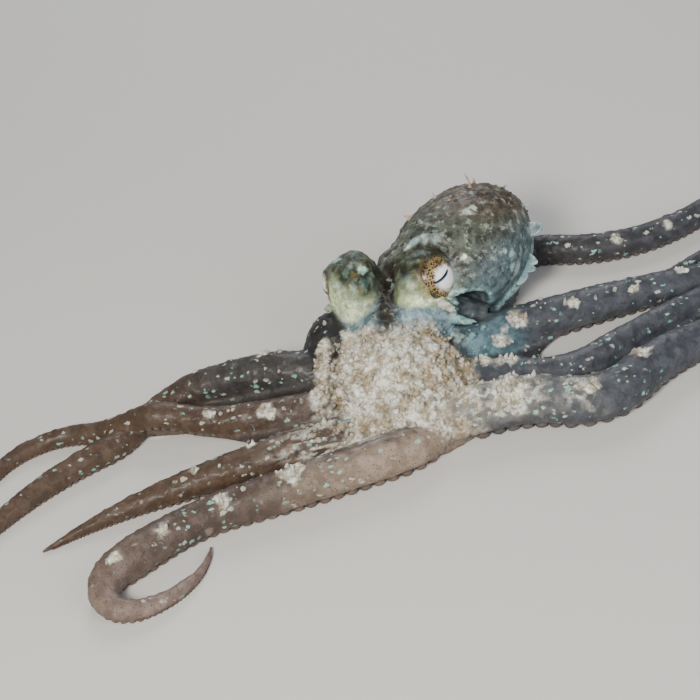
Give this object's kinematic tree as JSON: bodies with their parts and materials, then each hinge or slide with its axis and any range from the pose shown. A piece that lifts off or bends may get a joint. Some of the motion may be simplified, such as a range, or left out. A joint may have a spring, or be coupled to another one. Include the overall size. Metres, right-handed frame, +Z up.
{
  "type": "octopus",
  "caption": "Small bottom-living octopus at rest, a still life-size model: humped warty crown, raised eyes, rounded mantle and arms spread to both sides on the floor.",
  "frame": {"origin": "on the floor under the middle of the whole animal's box", "axes": "+Z up, +X towards the tips of the animal's left arms, -Y towards the front of the head"},
  "size_m": [0.2235, 0.0844, 0.027],
  "materials": {
    "mantle_skin": "moist mottled skin",
    "head_skin": "moist warty skin",
    "crown_skin": "pale grainy skin",
    "siphon_muscle": "smooth moist muscle",
    "arm_skin": "moist translucent skin",
    "eye": "wet glossy eye"
  },
  "bodies": {
    "root": {"mantle": "mantle_skin", "head": "head_skin", "arm_crown": "crown_skin", "siphon": "siphon_muscle", "eye_left": "eye", "eye_right": "eye", "arm_right_1_base": "arm_skin", "arm_right_1_middle": "arm_skin", "arm_right_1_tip": "arm_skin", "arm_right_2_base": "arm_skin", "arm_right_2_middle": "arm_skin", "arm_right_2_tip": "arm_skin", "arm_right_3_base": "arm_skin", "arm_right_3_middle": "arm_skin", "arm_right_3_tip": "arm_skin", "arm_right_4_base": "arm_skin", "arm_right_4_middle": "arm_skin", "arm_right_4_tip": "arm_skin", "arm_left_1_base": "arm_skin", "arm_left_1_middle": "arm_skin", "arm_left_1_tip": "arm_skin", "arm_left_2_base": "arm_skin", "arm_left_2_middle": "arm_skin", "arm_left_2_tip": "arm_skin", "arm_left_3_base": "arm_skin", "arm_left_3_middle": "arm_skin", "arm_left_3_tip": "arm_skin", "arm_left_4_base": "arm_skin", "arm_left_4_middle": "arm_skin", "arm_left_4_tip": "arm_skin"}
  },
  "joints": []
}
